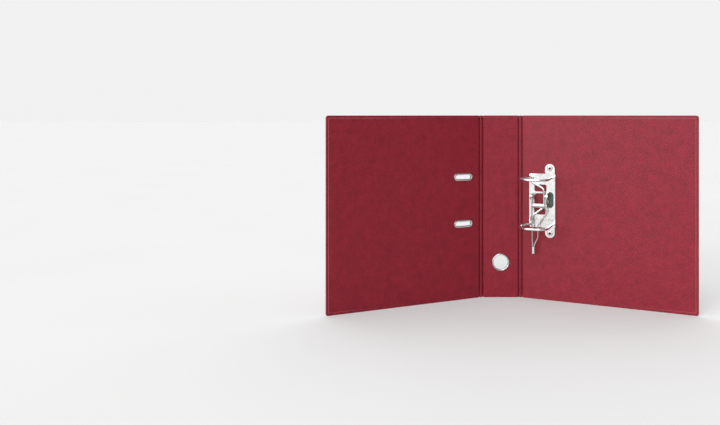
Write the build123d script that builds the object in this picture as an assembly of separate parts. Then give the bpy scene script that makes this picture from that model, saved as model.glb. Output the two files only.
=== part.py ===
from build123d import *
import math
import os

# Lever arch file, standing half open on its bottom edge. Millimetres, +Z up.
# The spine runs along X at the back and both covers come forward, towards -Y.
# The origin is in the middle of the spine's bottom edge.

# Case: three boards and two narrow hinge strips, wrapped outside and lined inside
HEIGHT = 315.0
SPINE_WIDTH = 60.0
COVER_WIDTH = 278.0
STRIP_WIDTH = 4.2
CREASE_GAP = 2.4
BOARD_THICKNESS = 2.0
PAPER_THICKNESS = 0.3
TURN_IN = 4.0
CORNER_RADIUS = 3.0
REST_FOLD = 11.8
PANEL_THICKNESS = BOARD_THICKNESS + 2 * PAPER_THICKNESS

# Fittings on the case
RING_HEIGHT = 60.7
RING_HOLE_RADIUS = 12.5
RING_FLANGE_RADIUS = 15.0
RING_WALL = 0.6
RING_FLANGE_THICKNESS = 0.9
SLOT_CENTRE = 32.2
SLOT_HOLE_LENGTH = 30.0
SLOT_HOLE_HEIGHT = 7.0
SLOT_WALL = 0.5
SLOT_FLANGE_WIDTH = 3.0
SLOT_FLANGE_THICKNESS = 0.8
SLOT_FLANGE_CHAMFER = 0.48
RING_FLANGE_ROUND = 0.72
CUT_MARGIN = 1.0
LABEL_WIDTH = 48.0
LABEL_BOTTOM = 188.0
LABEL_TOP = 295.0
LABEL_RADIUS = 5.0
LABEL_THICKNESS = 0.2

# Mechanism, on the inside of the back cover. u runs from the cover's hinge edge
# towards its fore edge, v up from the mechanism's middle, n in from the cover.
MECHANISM_HEIGHT = 169.5
HOLE_SPACING = 80.0
PLATE_THICKNESS = 1.2
PLATE_LEFT = 12.0
PLATE_RIGHT = 56.0
PLATE_HALF_HEIGHT = 46.0
PLATE_CORNER_RADIUS = 3.0
RIM_HEIGHT = 3.4
LEFT_RIM_HEIGHT = 2.2
EAR_CENTRE = 46.8
EAR_RADIUS = 8.0
EAR_REACH = 62.8
EAR_ROOT = 8.0
RIVET_SPACING = 110.6
RIVET_SHANK_RADIUS = 2.7
RIVET_HEAD_RADIUS = 4.1
RIVET_HEAD_HEIGHT = 1.2
RIVET_HEAD_ROUND = 0.85
RIVET_BORE_RADIUS = 2.1
RIVET_BORE_DEPTH = 2.6
RIVET_OUTER_HEAD_RADIUS = 4.8
RIVET_OUTER_HEAD_HEIGHT = 0.7
WINDOW_LEFT = 20.5
WINDOW_RIGHT = 41.2
WINDOW_TOP = 27.5
WINDOW_BOTTOM = -24.0
WINDOW_CORNER_RADIUS = 6.0
WINDOW_BAR_TOP = 15.4
WINDOW_BAR_BOTTOM = 12.4
LUG_THICKNESS = 1.2
LUG_HALF_WIDTH = 6.0
LUG_TOP = 17.0
PUNCH_RIGHT = 53.0
PUNCH_TOP = 15.0
PUNCH_BOTTOM = -12.0
PUNCH_DEPTH = 0.8

ROD_RADIUS = 2.0
AXLE_U = 17.0
AXLE_N = 5.0
BEARING_INNER = 34.2
BEARING_THICKNESS = 1.5
BEARING_CLEARANCE = 0.05
BEARING_EYE_RADIUS = 3.6
POST_U = 52.0
POST_COLLAR_RADIUS = 2.7
POST_COLLAR_HEIGHT = 1.0
POST_BEND_RADIUS = 17.0
ARCH_TOP = 65.0
ARCH_JOINT = 33.5
ARCH_JOINT_GAP = 0.3
ARCH_BULGE = (3.0, 37.0)
ARCH_SHOULDER = 7.0
ARCH_BEND_RADII = [23.0, 30.0, 3.5]
CRANK_REACH = 37.6
CRANK_TOP = 31.4
CRANK_BOTTOM = -26.8
CRANK_STRAIGHT_TOP = 20.3
CRANK_STRAIGHT_BOTTOM = -10.3
CRANK_BEND_RADII = [3.5, 7.0, 7.0, 3.5]

PIVOT_V = 8.0
PIVOT_N = 11.3
ROLLER_ARM = 15.6
ROLLER_RADIUS = 4.0
ROLLER_CLEARANCE = 0.05
ROLLER_CHAMFER = 0.5
ROLLER_AXLE_RADIUS = 1.5
AXLE_HEAD_RADIUS = 2.4
AXLE_HEAD_HEIGHT = 0.7
SIDE_GAP = 0.3
CHEEK_THICKNESS = 2.6
LEFT_CHEEK = 17.2
RIGHT_CHEEK = 40.4
CHEEK_HALF_DEPTH = 2.4
CHEEK_END = -13.0
EYE_RADIUS = 4.0
PIVOT_RADIUS = 1.75
PIVOT_CLEARANCE = 0.05
PIVOT_HEAD_RADIUS = 3.0
PIVOT_HEAD_HEIGHT = 0.9
LEVER_WIRE_RADIUS = 1.1
WIRE_GAP = 0.05
LEG_OVERLAP = 3.0
LEG_STRAIGHT_END = -62.0
LEGS_MEET = -77.0
LEFT_LEG_U = 18.6
LEFT_LEG_TOP = -32.0
LEFT_LEG_RADII = [20.0, 14.0, 14.0]
RIGHT_LEG_U = 28.4
RIGHT_LEG_TOP = -42.0
RIGHT_LEG_SHOULDER = -21.0
RIGHT_LEG_RADII = [8.0, 8.0, 12.0, 12.0]
LEVER_TIP_U = 20.4
LEVER_TIP_V = -88.0
SLEEVE_RADIUS = 2.6
SLEEVE_TOP_V = -79.5
SLEEVE_END_V = -89.8
SLEEVE_ROUND = 0.5
SPRING_INNER_RADIUS = 2.4
SPRING_OUTER_RADIUS = 3.4
SPRING_TOP_V = -29.4
SPRING_END_V = -33.8


# Places: each panel has its own plane, with local x along the panel, y up and
# z from its outer face inwards. Panels of the front side are mirrored in x.
def panel_plane(side, hinge, angle):
    turn = math.radians(angle)
    return Plane(
        origin=(hinge[0], hinge[1], 0),
        x_dir=(math.cos(turn), -side * math.sin(turn), 0),
        z_dir=(-side * math.sin(turn), -math.cos(turn), 0),
    )


def next_hinge(side, hinge, angle, distance):
    turn = math.radians(angle)
    return (hinge[0] + side * distance * math.cos(turn), hinge[1] - distance * math.sin(turn))


def spine_hinge(side):
    return (side * (SPINE_WIDTH / 2 + CREASE_GAP / 2), PANEL_THICKNESS / 2)


def cover_hinge(side):
    return next_hinge(side, spine_hinge(side), REST_FOLD, STRIP_WIDTH + CREASE_GAP)


SPINE_PLANE = Plane(origin=(0, PANEL_THICKNESS / 2, 0), x_dir=(1, 0, 0), z_dir=(0, -1, 0))
SIDES = {"front": -1, "back": 1}


def place(shape, side, plane):
    if side < 0:
        shape = mirror(shape, about=Plane.YZ)
    return plane.location * shape


def on_strip(shape, side):
    return place(shape, side, panel_plane(side, spine_hinge(side), REST_FOLD))


def on_cover(shape, side):
    return place(shape, side, panel_plane(side, cover_hinge(side), 2 * REST_FOLD))


def block(low, high):
    size = [b - a for a, b in zip(low, high)]
    return Pos(*low) * Box(*size, align=(Align.MIN, Align.MIN, Align.MIN))


def tall_edges(shape, at_least_x):
    return [e for e in shape.edges().filter_by(Axis.Z) if e.center().X > at_least_x]


def rod(radius, length):
    return Cylinder(radius, length, align=(Align.CENTER, Align.CENTER, Align.MIN))


def rod_along_x(radius, start, end, y, z):
    return Pos(start, y, z) * Rot(0, 90, 0) * rod(radius, end - start)


def rod_along_y(radius, start, end, x, z):
    return Pos(x, start, z) * Rot(-90, 0, 0) * rod(radius, end - start)


def rod_along_z(radius, start, end, x, y):
    return Pos(x, y, start) * rod(radius, end - start)


# Case panels
def sheet(start, end, bottom, top, low, high, corner=0.0):
    made = block((start, bottom, low), (end, top, high))
    if corner:
        made = fillet(tall_edges(made, (start + end) / 2), corner)
    return made


def panel(start, end, free_edge, cutters):
    """The outer wrap, the board and the inner lining of one panel, with what passes through cut out."""
    inset = PAPER_THICKNESS if free_edge else 0
    border = TURN_IN if free_edge else 0
    corner = CORNER_RADIUS if free_edge else 0
    inner_corner = CORNER_RADIUS - PAPER_THICKNESS if free_edge else 0
    inner = PANEL_THICKNESS - PAPER_THICKNESS
    board_top = HEIGHT - PAPER_THICKNESS
    board = sheet(start, end - inset, PAPER_THICKNESS, board_top, PAPER_THICKNESS, inner, inner_corner)
    lining = sheet(start, end - border, TURN_IN, HEIGHT - TURN_IN, inner, PANEL_THICKNESS)
    wrap = sheet(start, end, 0, HEIGHT, 0, PANEL_THICKNESS, corner) - board - lining
    pieces = {"wrap": wrap, "board": board, "lining": lining}
    for cutter in cutters:
        pieces = {name: piece - cutter for name, piece in pieces.items()}
    return pieces


def crease(side, hinge, angle_before, angle_after):
    """The folded paper over one crease, from one panel's outer layer to the next one's."""
    half = CREASE_GAP / 2
    bisector = math.radians((angle_before + angle_after) / 2)
    depth = PAPER_THICKNESS / math.cos(math.radians((angle_after - angle_before) / 2))

    def point(angle, along, inward):
        turn = math.radians(angle)
        x = hinge[0] + side * (along * math.cos(turn) - inward * math.sin(turn))
        return (x, hinge[1] - along * math.sin(turn) - inward * math.cos(turn))

    middle = (hinge[0] - side * depth * math.sin(bisector), hinge[1] - depth * math.cos(bisector))
    outline = [
        point(angle_before, -half, 0),
        hinge,
        point(angle_after, half, 0),
        point(angle_after, half, PAPER_THICKNESS),
        middle,
        point(angle_before, -half, PAPER_THICKNESS),
    ]
    face = make_face(Polyline(*outline, close=True))
    return extrude(face, amount=HEIGHT, dir=(0, 0, 1))


def slot_shape(length, height, low, high, middle_height):
    face = Pos(SLOT_CENTRE, middle_height, low) * SlotOverall(length, height)
    return extrude(face, amount=high - low, dir=(0, 0, 1))


SLOT_HEIGHTS = {
    "upper": MECHANISM_HEIGHT + HOLE_SPACING / 2,
    "lower": MECHANISM_HEIGHT - HOLE_SPACING / 2,
}


def slot_cutter(middle_height):
    length = SLOT_HOLE_LENGTH + 2 * SLOT_WALL
    height = SLOT_HOLE_HEIGHT + 2 * SLOT_WALL
    return slot_shape(length, height, -CUT_MARGIN, PANEL_THICKNESS + CUT_MARGIN, middle_height)


def slot_eyelet(middle_height):
    """A pressed rim: a tube through the cover with a rounded flange on both faces."""
    length = SLOT_HOLE_LENGTH + 2 * SLOT_WALL
    height = SLOT_HOLE_HEIGHT + 2 * SLOT_WALL
    wide = SLOT_HOLE_LENGTH + 2 * SLOT_FLANGE_WIDTH
    tall = SLOT_HOLE_HEIGHT + 2 * SLOT_FLANGE_WIDTH
    lip = SLOT_FLANGE_THICKNESS
    far = PANEL_THICKNESS + lip
    outside = slot_shape(wide, tall, -lip, 0, middle_height)
    outside = chamfer(outside.faces().sort_by(Axis.Z)[0].edges(), SLOT_FLANGE_CHAMFER)
    inside = slot_shape(wide, tall, PANEL_THICKNESS, far, middle_height)
    inside = chamfer(inside.faces().sort_by(Axis.Z)[-1].edges(), SLOT_FLANGE_CHAMFER)
    tube = slot_shape(length, height, -lip, far, middle_height)
    near = -lip - CUT_MARGIN
    hole = slot_shape(SLOT_HOLE_LENGTH, SLOT_HOLE_HEIGHT, near, far + CUT_MARGIN, middle_height)
    return outside + inside + tube - hole


def finger_ring():
    """The eyelet's outer flange and the tube that goes through the spine."""
    tube_radius = RING_HOLE_RADIUS + RING_WALL
    flange = rod_along_z(RING_FLANGE_RADIUS, -RING_FLANGE_THICKNESS, 0, 0, RING_HEIGHT)
    flange = fillet(flange.faces().sort_by(Axis.Z)[0].edges(), RING_FLANGE_ROUND)
    far = PANEL_THICKNESS + RING_FLANGE_THICKNESS
    tube = rod_along_z(tube_radius, -RING_FLANGE_THICKNESS, far, 0, RING_HEIGHT)
    near = -RING_FLANGE_THICKNESS - CUT_MARGIN
    hole = rod_along_z(RING_HOLE_RADIUS, near, far + CUT_MARGIN, 0, RING_HEIGHT)
    return flange + tube - hole


def finger_ring_washer():
    """The ring on the inside of the spine that the tube is rolled over."""
    far = PANEL_THICKNESS + RING_FLANGE_THICKNESS
    washer = rod_along_z(RING_FLANGE_RADIUS, PANEL_THICKNESS, far, 0, RING_HEIGHT)
    washer = fillet(washer.faces().sort_by(Axis.Z)[-1].edges(), RING_FLANGE_ROUND)
    return washer - rod_along_z(RING_HOLE_RADIUS + RING_WALL, 0, far + CUT_MARGIN, 0, RING_HEIGHT)


def spine_label():
    label = block((-LABEL_WIDTH / 2, LABEL_BOTTOM, -LABEL_THICKNESS), (LABEL_WIDTH / 2, LABEL_TOP, 0))
    return fillet(label.edges().filter_by(Axis.Z), LABEL_RADIUS)


# Mechanism pieces, drawn as (u, v, n) and set on the back cover's inner face
def on_mechanism(shape):
    start = CREASE_GAP / 2
    return on_cover(Pos(start, MECHANISM_HEIGHT, PANEL_THICKNESS) * shape, SIDES["back"])


def rivet_places():
    return [(EAR_CENTRE, side * RIVET_SPACING / 2) for side in (1, -1)]


def rivet_cutters():
    start = CREASE_GAP / 2
    top = PANEL_THICKNESS + CUT_MARGIN
    return [
        rod_along_z(RIVET_SHANK_RADIUS, -CUT_MARGIN, top, start + u, MECHANISM_HEIGHT + v)
        for u, v in rivet_places()
    ]


def upright_lug(left, centre, half_width, root, top):
    """A flat lug that stands on the plate, with a round top, as wide as it is round."""
    right = left + LUG_THICKNESS
    shoulder = top - half_width
    body = block((left, centre - half_width, root), (right, centre + half_width, shoulder))
    crown = rod_along_x(half_width, left, right, centre, shoulder)
    return body + crown


def bearing(side):
    """A small eye on the plate that the arch wire turns in."""
    low = BEARING_INNER if side > 0 else -BEARING_INNER - BEARING_THICKNESS
    high = low + BEARING_THICKNESS
    left = AXLE_U - BEARING_EYE_RADIUS
    right = AXLE_U + BEARING_EYE_RADIUS
    eye = rod_along_y(BEARING_EYE_RADIUS, low, high, AXLE_U, AXLE_N)
    foot = block((left, low, PLATE_THICKNESS / 2), (right, high, AXLE_N))
    hole_radius = ROD_RADIUS + BEARING_CLEARANCE
    hole = rod_along_y(hole_radius, low - CUT_MARGIN, high + CUT_MARGIN, AXLE_U, AXLE_N)
    return eye + foot - hole


def window(left, bottom, right, top, floor):
    """What a window or a recess in the plate removes, down to its floor."""
    return block((left, bottom, floor), (right, top, PLATE_THICKNESS + CUT_MARGIN))


def base_plate():
    """Stamped steel plate with two riveted ears, turned-up rims, bearings and two pivot lugs."""
    plate = block((PLATE_LEFT, -PLATE_HALF_HEIGHT, 0), (PLATE_RIGHT, PLATE_HALF_HEIGHT, PLATE_THICKNESS))
    plate = fillet(plate.edges().filter_by(Axis.Z), PLATE_CORNER_RADIUS)
    for side in (1, -1):
        ear_middle = side * (EAR_REACH - EAR_RADIUS)
        low, high = sorted((side * (PLATE_HALF_HEIGHT - EAR_ROOT), ear_middle))
        plate += block((EAR_CENTRE - EAR_RADIUS, low, 0), (EAR_CENTRE + EAR_RADIUS, high, PLATE_THICKNESS))
        plate += rod_along_z(EAR_RADIUS, 0, PLATE_THICKNESS, EAR_CENTRE, ear_middle)
    rim_half = PLATE_HALF_HEIGHT - PLATE_CORNER_RADIUS
    plate += block((PLATE_RIGHT - LUG_THICKNESS, -rim_half, 0), (PLATE_RIGHT, rim_half, RIM_HEIGHT))
    plate += block((PLATE_LEFT, -rim_half, 0), (PLATE_LEFT + LUG_THICKNESS, rim_half, LEFT_RIM_HEIGHT))
    through = -CUT_MARGIN
    above = PLATE_THICKNESS + CUT_MARGIN
    upper = window(WINDOW_LEFT, WINDOW_BAR_TOP, WINDOW_RIGHT, WINDOW_TOP, through)
    lower = window(WINDOW_LEFT, WINDOW_BOTTOM, WINDOW_RIGHT, WINDOW_BAR_BOTTOM, through)
    plate -= fillet(upper.edges().filter_by(Axis.Z), WINDOW_CORNER_RADIUS / 2)
    plate -= fillet(lower.edges().filter_by(Axis.Z), WINDOW_CORNER_RADIUS)
    right_lug = RIGHT_CHEEK + CHEEK_THICKNESS + SIDE_GAP
    left_lug = LEFT_CHEEK - SIDE_GAP - LUG_THICKNESS
    recess_floor = PLATE_THICKNESS - PUNCH_DEPTH
    recess = window(right_lug + LUG_THICKNESS, PUNCH_BOTTOM, PUNCH_RIGHT, PUNCH_TOP, recess_floor)
    plate -= fillet(tall_edges(recess, PUNCH_RIGHT - CUT_MARGIN), WINDOW_CORNER_RADIUS)
    for left in (left_lug, right_lug):
        plate += upright_lug(left, PIVOT_V, LUG_HALF_WIDTH, PLATE_THICKNESS / 2, LUG_TOP)
    for side in (1, -1):
        plate += bearing(side)
        plate -= rod_along_z(ROD_RADIUS, through, above, POST_U, side * HOLE_SPACING / 2)
    far = right_lug + LUG_THICKNESS + CUT_MARGIN
    plate -= rod_along_x(PIVOT_RADIUS, left_lug - CUT_MARGIN, far, PIVOT_V, PIVOT_N)
    for u, v in rivet_places():
        plate -= rod_along_z(RIVET_SHANK_RADIUS, through, above, u, v)
    return plate


def mechanism_rivet(u, v):
    """A tubular rivet through the ear and the cover, with a hollow head inside and a flat one outside."""
    top = PLATE_THICKNESS + RIVET_HEAD_HEIGHT
    head = rod_along_z(RIVET_HEAD_RADIUS, PLATE_THICKNESS, top, u, v)
    head = fillet(head.faces().sort_by(Axis.Z)[-1].edges(), RIVET_HEAD_ROUND)
    outer_face = -PANEL_THICKNESS
    outer_top = outer_face - RIVET_OUTER_HEAD_HEIGHT
    shank = rod_along_z(RIVET_SHANK_RADIUS, outer_face, top, u, v)
    outer_head = rod_along_z(RIVET_OUTER_HEAD_RADIUS, outer_top, outer_face, u, v)
    bore = rod_along_z(RIVET_BORE_RADIUS, top - RIVET_BORE_DEPTH, top + CUT_MARGIN, u, v)
    return head + shank + outer_head - bore


def mechanism_rivets():
    return Compound([mechanism_rivet(u, v) for u, v in rivet_places()])


def wire(points, radii, radius):
    path = FilletPolyline(*points, radius=radii)
    section = Plane(origin=path @ 0, z_dir=path % 0) * Circle(radius)
    return sweep(section, path=path)


def post(side):
    """A fixed post, bent over at the top to meet the arch's end, with a collar at its foot."""
    v = side * HOLE_SPACING / 2
    end = ARCH_JOINT + ARCH_JOINT_GAP / 2
    route = [(POST_U, v, 0), (POST_U, v, ARCH_TOP), (end, v, ARCH_TOP)]
    shaft = wire(route, [POST_BEND_RADIUS], ROD_RADIUS)
    collar_top = PLATE_THICKNESS + POST_COLLAR_HEIGHT
    return shaft + rod_along_z(POST_COLLAR_RADIUS, PLATE_THICKNESS, collar_top, POST_U, v)


def arch_wire():
    """One bent wire: the upper arch, its bearing, the crank, the other bearing and the lower arch."""
    half = HOLE_SPACING / 2
    end = ARCH_JOINT - ARCH_JOINT_GAP / 2
    arch = [(end, ARCH_TOP), (ARCH_SHOULDER, ARCH_TOP), ARCH_BULGE, (AXLE_U, AXLE_N)]
    upper = [(u, half, n) for u, n in arch]
    lower = [(u, -half, n) for u, n in reversed(arch)]
    crank = [
        (AXLE_U, CRANK_TOP, AXLE_N),
        (CRANK_REACH, CRANK_STRAIGHT_TOP, AXLE_N),
        (CRANK_REACH, CRANK_STRAIGHT_BOTTOM, AXLE_N),
        (AXLE_U, CRANK_BOTTOM, AXLE_N),
    ]
    bends = ARCH_BEND_RADII + CRANK_BEND_RADII + ARCH_BEND_RADII[::-1]
    return wire(upper + crank + lower, bends, ROD_RADIUS)


def cheek(left):
    """A flattened end of the lever wire, with the pivot eye and the hole for the roller's axle."""
    right = left + CHEEK_THICKNESS
    low = PIVOT_N - CHEEK_HALF_DEPTH
    high = PIVOT_N + CHEEK_HALF_DEPTH
    bar = block((left, CHEEK_END, low), (right, PIVOT_V, high))
    eye = rod_along_x(EYE_RADIUS, left, right, PIVOT_V, PIVOT_N)
    hole_radius = PIVOT_RADIUS + PIVOT_CLEARANCE
    pivot_hole = rod_along_x(hole_radius, left - CUT_MARGIN, right + CUT_MARGIN, PIVOT_V, PIVOT_N)
    return bar + eye - pivot_hole


def lever_wire():
    """The lever's two wire legs, from their flat cheeks to the tip where they lie side by side."""
    left_start = LEFT_CHEEK + CHEEK_THICKNESS / 2
    right_start = RIGHT_CHEEK + CHEEK_THICKNESS / 2
    left_end = LEVER_TIP_U - LEVER_WIRE_RADIUS - WIRE_GAP
    right_end = LEVER_TIP_U + LEVER_WIRE_RADIUS + WIRE_GAP
    leg_start = CHEEK_END + LEG_OVERLAP
    left_route = [
        (left_start, leg_start),
        (LEFT_LEG_U, LEFT_LEG_TOP),
        (LEFT_LEG_U, LEG_STRAIGHT_END),
        (left_end, LEGS_MEET),
        (left_end, LEVER_TIP_V),
    ]
    right_route = [
        (right_start, leg_start),
        (right_start, RIGHT_LEG_SHOULDER),
        (RIGHT_LEG_U, RIGHT_LEG_TOP),
        (RIGHT_LEG_U, LEG_STRAIGHT_END),
        (right_end, LEGS_MEET),
        (right_end, LEVER_TIP_V),
    ]
    left_leg = wire([(u, v, PIVOT_N) for u, v in left_route], LEFT_LEG_RADII, LEVER_WIRE_RADIUS)
    right_leg = wire([(u, v, PIVOT_N) for u, v in right_route], RIGHT_LEG_RADII, LEVER_WIRE_RADIUS)
    bridge = rod_along_x(LEVER_WIRE_RADIUS, left_end, right_end, LEVER_TIP_V, PIVOT_N)
    lever = cheek(LEFT_CHEEK) + left_leg + bridge + right_leg + cheek(RIGHT_CHEEK)
    return lever - roller_axle_rod(ROLLER_AXLE_RADIUS)


def roller_axle_rod(radius):
    v = PIVOT_V - ROLLER_ARM
    return rod_along_x(radius, LEFT_CHEEK, RIGHT_CHEEK + CHEEK_THICKNESS, v, PIVOT_N)


def roller_axle():
    """The pin between the lever's cheeks, with a flat head outside each."""
    v = PIVOT_V - ROLLER_ARM
    left = rod_along_x(AXLE_HEAD_RADIUS, LEFT_CHEEK - AXLE_HEAD_HEIGHT, LEFT_CHEEK, v, PIVOT_N)
    far = RIGHT_CHEEK + CHEEK_THICKNESS
    right = rod_along_x(AXLE_HEAD_RADIUS, far, far + AXLE_HEAD_HEIGHT, v, PIVOT_N)
    return left + roller_axle_rod(ROLLER_AXLE_RADIUS) + right


def pressure_roller():
    """The roller that holds the crank down."""
    v = PIVOT_V - ROLLER_ARM
    start = LEFT_CHEEK + CHEEK_THICKNESS + SIDE_GAP
    end = RIGHT_CHEEK - SIDE_GAP
    roller = rod_along_x(ROLLER_RADIUS, start, end, v, PIVOT_N)
    roller = chamfer(roller.edges().filter_by(GeomType.CIRCLE), ROLLER_CHAMFER)
    bore_radius = ROLLER_AXLE_RADIUS + ROLLER_CLEARANCE
    return roller - rod_along_x(bore_radius, start - CUT_MARGIN, end + CUT_MARGIN, v, PIVOT_N)


def lever_pivot(left, right, head_side):
    """A short rivet through one lug and one of the lever's eyes."""
    shank = rod_along_x(PIVOT_RADIUS, left, right, PIVOT_V, PIVOT_N)
    start = left - PIVOT_HEAD_HEIGHT if head_side < 0 else right
    return shank + rod_along_x(PIVOT_HEAD_RADIUS, start, start + PIVOT_HEAD_HEIGHT, PIVOT_V, PIVOT_N)


def lever_pivots():
    left_lug = LEFT_CHEEK - SIDE_GAP - LUG_THICKNESS
    right_lug = RIGHT_CHEEK + CHEEK_THICKNESS + SIDE_GAP + LUG_THICKNESS
    return Compound([
        lever_pivot(left_lug, LEFT_CHEEK + CHEEK_THICKNESS, -1),
        lever_pivot(RIGHT_CHEEK, right_lug, 1),
    ])


def lever_sleeve(lever):
    """The crimped sleeve that holds the two wires together at the lever's tip."""
    sleeve = rod_along_y(SLEEVE_RADIUS, SLEEVE_END_V, SLEEVE_TOP_V, LEVER_TIP_U, PIVOT_N)
    sleeve = fillet(sleeve.edges().filter_by(GeomType.CIRCLE), SLEEVE_ROUND)
    return sleeve - lever


def arch_spring():
    """The torsion spring on the arch wire's lower bearing, as the hollow cylinder its turns fill."""
    coil = rod_along_y(SPRING_OUTER_RADIUS, SPRING_END_V, SPRING_TOP_V, AXLE_U, AXLE_N)
    low = SPRING_END_V - CUT_MARGIN
    high = SPRING_TOP_V + CUT_MARGIN
    return coil - rod_along_y(SPRING_INNER_RADIUS, low, high, AXLE_U, AXLE_N)


# The whole file
def case_nodes():
    nodes = {}
    hole_radius = RING_HOLE_RADIUS + RING_WALL
    ring_hole = rod_along_z(hole_radius, -CUT_MARGIN, PANEL_THICKNESS + CUT_MARGIN, 0, RING_HEIGHT)
    for name, piece in panel(-SPINE_WIDTH / 2, SPINE_WIDTH / 2, False, [ring_hole]).items():
        nodes["spine_" + name] = SPINE_PLANE.location * piece
    for name, side in SIDES.items():
        start = CREASE_GAP / 2
        for part, piece in panel(start, start + STRIP_WIDTH, False, []).items():
            nodes[f"{name}_strip_{part}"] = on_strip(piece, side)
        cutters = rivet_cutters() if name == "back" else [slot_cutter(z) for z in SLOT_HEIGHTS.values()]
        for part, piece in panel(start, start + COVER_WIDTH, True, cutters).items():
            nodes[f"{name}_cover_{part}"] = on_cover(piece, side)
        nodes[f"{name}_spine_crease"] = crease(side, spine_hinge(side), 0, REST_FOLD)
        nodes[f"{name}_cover_crease"] = crease(side, cover_hinge(side), REST_FOLD, 2 * REST_FOLD)
    nodes["finger_ring"] = SPINE_PLANE.location * finger_ring()
    nodes["finger_ring_washer"] = SPINE_PLANE.location * finger_ring_washer()
    nodes["spine_label"] = SPINE_PLANE.location * spine_label()
    for name, middle in SLOT_HEIGHTS.items():
        nodes[f"{name}_slot_eyelet"] = on_cover(slot_eyelet(middle), SIDES["front"])
    return nodes


def mechanism_nodes():
    lever = lever_wire()
    drawn = {
        "base_plate": base_plate(),
        "mechanism_rivets": mechanism_rivets(),
        "upper_post": post(1),
        "lower_post": post(-1),
        "arch_wire": arch_wire(),
        "arch_spring": arch_spring(),
        "lever_wire": lever,
        "lever_sleeve": lever_sleeve(lever),
        "lever_pivots": lever_pivots(),
        "roller_axle": roller_axle(),
        "pressure_roller": pressure_roller(),
    }
    return {name: on_mechanism(shape) for name, shape in drawn.items()}


os.makedirs("parts", exist_ok=True)
for node, shape in (case_nodes() | mechanism_nodes()).items():
    export_step(shape, f"parts/{node}.step")
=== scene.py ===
import math

import bpy
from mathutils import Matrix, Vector
from mathutils.geometry import delaunay_2d_cdt


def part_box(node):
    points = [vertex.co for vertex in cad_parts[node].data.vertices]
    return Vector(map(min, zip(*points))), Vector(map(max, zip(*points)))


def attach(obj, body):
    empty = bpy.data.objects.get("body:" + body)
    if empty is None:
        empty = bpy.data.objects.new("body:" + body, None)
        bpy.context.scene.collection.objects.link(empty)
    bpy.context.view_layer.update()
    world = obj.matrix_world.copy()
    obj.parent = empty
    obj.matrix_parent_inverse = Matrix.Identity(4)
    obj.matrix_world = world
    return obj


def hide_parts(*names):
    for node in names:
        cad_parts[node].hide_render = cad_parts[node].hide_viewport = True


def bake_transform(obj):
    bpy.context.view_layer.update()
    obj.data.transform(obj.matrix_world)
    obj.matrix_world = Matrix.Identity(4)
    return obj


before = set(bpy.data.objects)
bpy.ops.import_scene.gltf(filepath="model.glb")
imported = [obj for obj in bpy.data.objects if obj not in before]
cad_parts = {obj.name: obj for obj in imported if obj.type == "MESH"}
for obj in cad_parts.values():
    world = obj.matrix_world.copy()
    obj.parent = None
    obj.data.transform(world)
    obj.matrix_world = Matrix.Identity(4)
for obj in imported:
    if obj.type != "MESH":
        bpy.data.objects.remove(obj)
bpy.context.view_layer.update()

# Lever arch file, half open. Metres, +Z up, in the frame of the CAD model: the spine runs along X at the
# back, the covers come forward to -Y, and the origin is in the middle of the spine's bottom edge.
MM = 0.001

# ---------------------------------------------------------------- dimensions of the case, in millimetres
HEIGHT = 315.0
SPINE_HALF = 30.0
COVER_WIDTH = 278.0
STRIP_WIDTH = 4.2
HALF_GAP = 1.2
THICKNESS = 2.6
FOLD = 11.8
CORNER = 4.0
HINGE_CORNER = 0.35
LEAST_RADIUS = 0.12
EDGE_ROUND = 0.8
LINING_INSET = 4.0
LINING_PAPER = 0.18
LINING_CORNER = 1.2
LINING_BEVEL = 0.12
LINING_SUNK = 0.02
# Width of the pale border along the lining's fore-edge, partly wear and partly painted highlight.
PALE_BORDER = 1.4
SHELL = THICKNESS - LINING_PAPER
CREASE_DEPTH = 1.25
ARC = 6

# A panel narrower than this is a strip. The spacings are between the points that fill a face.
NARROW = 10.0
COVER_SPACING = 12.0
STRIP_SPACING = 8.0
STRIP_LINING_SPACING = 60.0

MECHANISM_HEIGHT = 169.5
HALF_HOLE_SPACING = 40.0
RING_HEIGHT = 60.7
RING_RADIUS, RING_WALL, RING_FLANGE, RING_LIP = 12.5, 0.6, 2.5, 0.9
SLOT_CENTRE = 32.2
SLOT_LENGTH, SLOT_OPENING = 30.0, 7.0
SLOT_WALL, SLOT_FLANGE, SLOT_LIP = 0.5, 3.0, 0.8
SLOT_HEIGHTS = {"upper": MECHANISM_HEIGHT + HALF_HOLE_SPACING, "lower": MECHANISM_HEIGHT - HALF_HOLE_SPACING}

# ---------------------------------------------------------------- the mechanism, in its own millimetres
EAR_CENTRE = 46.8
RIVET_REACH = 55.3
# Bounds of the painted shade inside each rivet and of its painted contact shadow at the head.
RIVET_BORE, RIVET_BORE_TOP = 2.2, 2.1
RIVET_FOOT, RIVET_FOOT_TOP = 3.6, 1.7
# Where the painted shadow ring on the plate round each rivet head starts and fades out.
RIVET_SHADOW_START, RIVET_SHADOW_END = 4.1, 5.0
# Box of the pressed recess whose floor gets painted shade.
RECESS_U, RECESS_V, RECESS_N = (44.0, 53.4), (-12.4, 15.4), (0.2, 1.05)


# ---------------------------------------------------------------- the panels' own planes
def direction(side, angle):
    turn = math.radians(angle)
    along = Vector((side * math.cos(turn), -math.sin(turn), 0))
    inward = Vector((-side * math.sin(turn), -math.cos(turn), 0))
    return along, inward


def spine_hinge(side):
    return Vector((side * (SPINE_HALF + HALF_GAP), THICKNESS / 2, 0))


def cover_hinge(side):
    return spine_hinge(side) + direction(side, FOLD)[0] * (STRIP_WIDTH + 2 * HALF_GAP)


def plane(side, hinge, angle):
    """Turns millimetres into a point in metres: u along the panel, v up, m inwards from its outer face."""
    along, inward = direction(side, angle)

    def point(u, v, m):
        return (hinge + along * u + inward * m + Vector((0, 0, v))) * MM

    return point


def spine_plane(u, v, m):
    return Vector((u, THICKNESS / 2 - m, v)) * MM


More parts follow.
